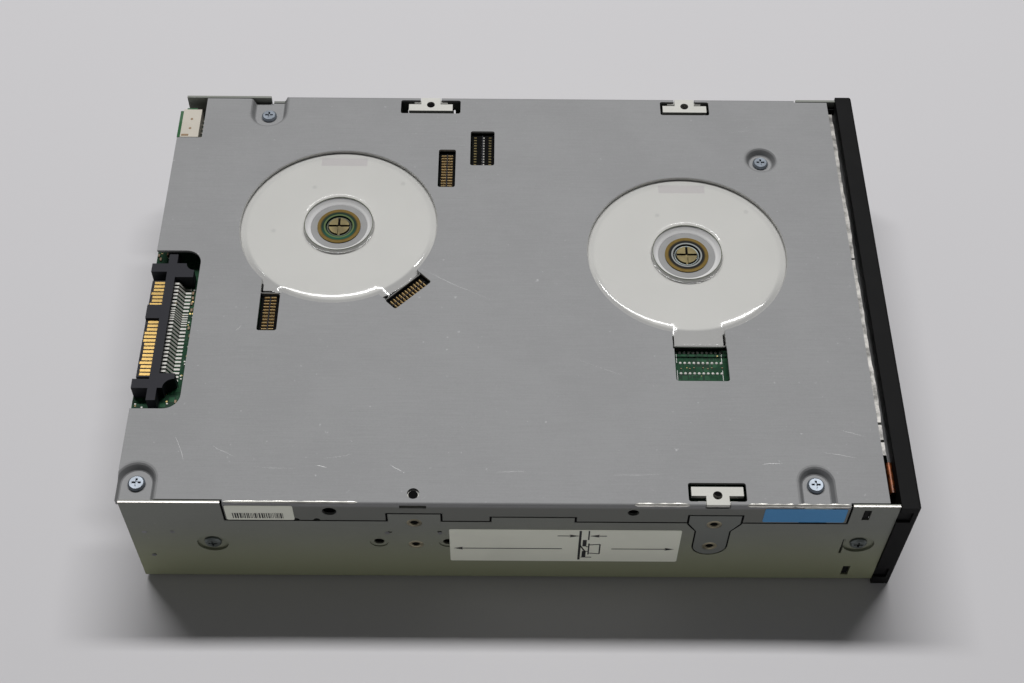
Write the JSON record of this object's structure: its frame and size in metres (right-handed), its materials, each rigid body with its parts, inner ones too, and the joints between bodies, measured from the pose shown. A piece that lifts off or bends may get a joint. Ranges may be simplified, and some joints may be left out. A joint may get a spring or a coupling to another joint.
{
  "type": "data tape drive",
  "caption": "Half-height internal data tape drive in a sheet-steel case, with a moulded bezel, cartridge door, reel motors, tape path, head lift and loader.",
  "frame": {"origin": "centre of the face that the drive rests on, below the middle of the metal body, with the drive lying on its lid", "axes": "+X towards the bezel, +Z out of the drive's underside, +Y towards the far long side"},
  "size_m": [0.2105, 0.1474, 0.0424],
  "materials": {
    "galvanised": "satin galvanised sheet",
    "white_steel": "matte light coating",
    "zinc": "bright zinc",
    "black_plastic": "matte black",
    "light_pipe": "clear moulded",
    "steel": "bright steel",
    "cast_aluminium": "as cast",
    "board_green": "green solder mask",
    "cream_laminate": "matte cream",
    "clear_film": "clear glossy film",
    "brass": "bright brass",
    "copper": "enamelled copper",
    "grey_plastic": "moulded grey",
    "ceramic": "polished dark ceramic",
    "cream_plastic": "moulded cream",
    "white_paper": "matte label",
    "blue_paper": "matte label"
  },
  "bodies": {
    "chassis": {"bezel": "black_plastic", "blue_label": "blue_paper", "bottom_cover": "galvanised", "cover_screws": "zinc", "deck": "cast_aluminium", "door_pin": "steel", "door_spring": "steel", "earthing_strip": "steel", "front_board": "board_green", "head_frame": "steel", "head_rods": "steel", "lid_posts": "steel", "loader_motor": "steel", "loader_motor_holder": "grey_plastic", "main_board": "board_green", "motor_coils": "copper", "motor_drive_board": "board_green", "mount_brackets": "white_steel", "panel_flex": "copper", "pin_blocks": "black_plastic", "port_contacts": "brass", "port_housing": "black_plastic", "port_tails": "steel", "roller_pins": "steel", "service_connector": "cream_plastic", "shell": "galvanised", "side_screws": "zinc", "spindle_bearings": "brass", "stator_cores": "steel", "status_lights": "light_pipe", "supply_film": "clear_film", "supply_motor_base": "cast_aluminium", "supply_motor_board": "cream_laminate", "takeup_film": "clear_film", "takeup_motor_base": "cast_aluminium", "takeup_motor_board": "cream_laminate", "white_labels": "white_paper"},
    "takeup": {"takeup_rotor": "steel", "takeup_spindle": "steel", "takeup_spindle_cap": "brass", "takeup_reel": "grey_plastic"},
    "supply": {"supply_rotor": "steel", "supply_spindle": "steel", "supply_spindle_cap": "brass", "supply_clutch": "grey_plastic"},
    "roller_1": {"guide_roller_1": "grey_plastic"},
    "roller_2": {"guide_roller_2": "grey_plastic"},
    "roller_3": {"guide_roller_3": "grey_plastic"},
    "roller_4": {"guide_roller_4": "grey_plastic"},
    "door": {"cartridge_door": "black_plastic"},
    "button": {"eject_button": "black_plastic"},
    "sled": {"sled": "steel"},
    "cradle": {"cradle": "steel"},
    "loader_gear": {"loader_gear": "grey_plastic"},
    "worm": {"worm": "steel"},
    "lead_screw": {"lead_screw": "steel"},
    "carriage": {"head_carriage": "cast_aluminium", "tape_head": "ceramic"},
    "threading_arm": {"threading_arm": "grey_plastic"}
  },
  "joints": [
    {"name": "takeup_spin", "type": "hinge", "parent": "chassis", "child": "takeup", "pos_m": [-0.05065, 0.02117, 0.025], "axis": [0, 0, 1], "continuous": true},
    {"name": "supply_spin", "type": "hinge", "parent": "chassis", "child": "supply", "pos_m": [0.05125, 0.01117, 0.03], "axis": [0, 0, 1], "continuous": true},
    {"name": "roller_1_spin", "type": "hinge", "parent": "chassis", "child": "roller_1", "pos_m": [-0.0085, -0.03503, 0.016], "axis": [0, 0, 1], "continuous": true},
    {"name": "roller_2_spin", "type": "hinge", "parent": "chassis", "child": "roller_2", "pos_m": [-0.0215, -0.04752, 0.016], "axis": [0, 0, 1], "continuous": true},
    {"name": "roller_3_spin", "type": "hinge", "parent": "chassis", "child": "roller_3", "pos_m": [-0.0535, -0.04752, 0.016], "axis": [0, 0, 1], "continuous": true},
    {"name": "roller_4_spin", "type": "hinge", "parent": "chassis", "child": "roller_4", "pos_m": [-0.0675, -0.03603, 0.016], "axis": [0, 0, 1], "continuous": true},
    {"name": "door_swing", "type": "hinge", "parent": "chassis", "child": "door", "pos_m": [0.1005, 0.01117, 0.00245], "axis": [0, -1, 0], "range_deg": [0, 90], "stiffness_Nm_per_rad": 0.003, "springref_deg": -17.19},
    {"name": "button_press", "type": "slide", "parent": "chassis", "child": "button", "axis": [-1, 0, 0], "range_m": [0, 0.001], "stiffness_N_per_m": 400},
    {"name": "sled_draw", "type": "slide", "parent": "chassis", "child": "sled", "axis": [-1, 0, 0], "range_m": [0, 0.012]},
    {"name": "cradle_drop", "type": "slide", "parent": "sled", "child": "cradle", "axis": [0, 0, 1], "range_m": [0, 0.0028]},
    {"name": "loader_gear_turn", "type": "hinge", "parent": "chassis", "child": "loader_gear", "pos_m": [0.0415, -0.05273, 0.008], "axis": [0, 0, 1], "range_deg": [0, 143.3]},
    {"name": "worm_turn", "type": "hinge", "parent": "chassis", "child": "worm", "pos_m": [0.0415, -0.06398, 0.0111], "axis": [1, 0, 0], "range_deg": [0, 1433]},
    {"name": "carriage_lift", "type": "slide", "parent": "chassis", "child": "carriage", "axis": [0, 0, 1], "range_m": [-0.003, 0.003]},
    {"name": "lead_screw_turn", "type": "hinge", "parent": "chassis", "child": "lead_screw", "pos_m": [-0.0375, -0.06342, 0.015], "axis": [0, 0, 1], "range_deg": [-1081, 1081]},
    {"name": "threading_swing", "type": "hinge", "parent": "chassis", "child": "threading_arm", "pos_m": [-0.0045, 0.00797, 0.005], "axis": [0, 0, -1], "range_deg": [0, 102]}
  ],
  "couplings": [
    {"joint": "loader_gear_turn", "follows": "sled_draw", "rad_per_m": 208.33},
    {"joint": "worm_turn", "follows": "sled_draw", "rad_per_m": 2083.3},
    {"joint": "lead_screw_turn", "follows": "carriage_lift", "rad_per_m": 6283.2}
  ]
}
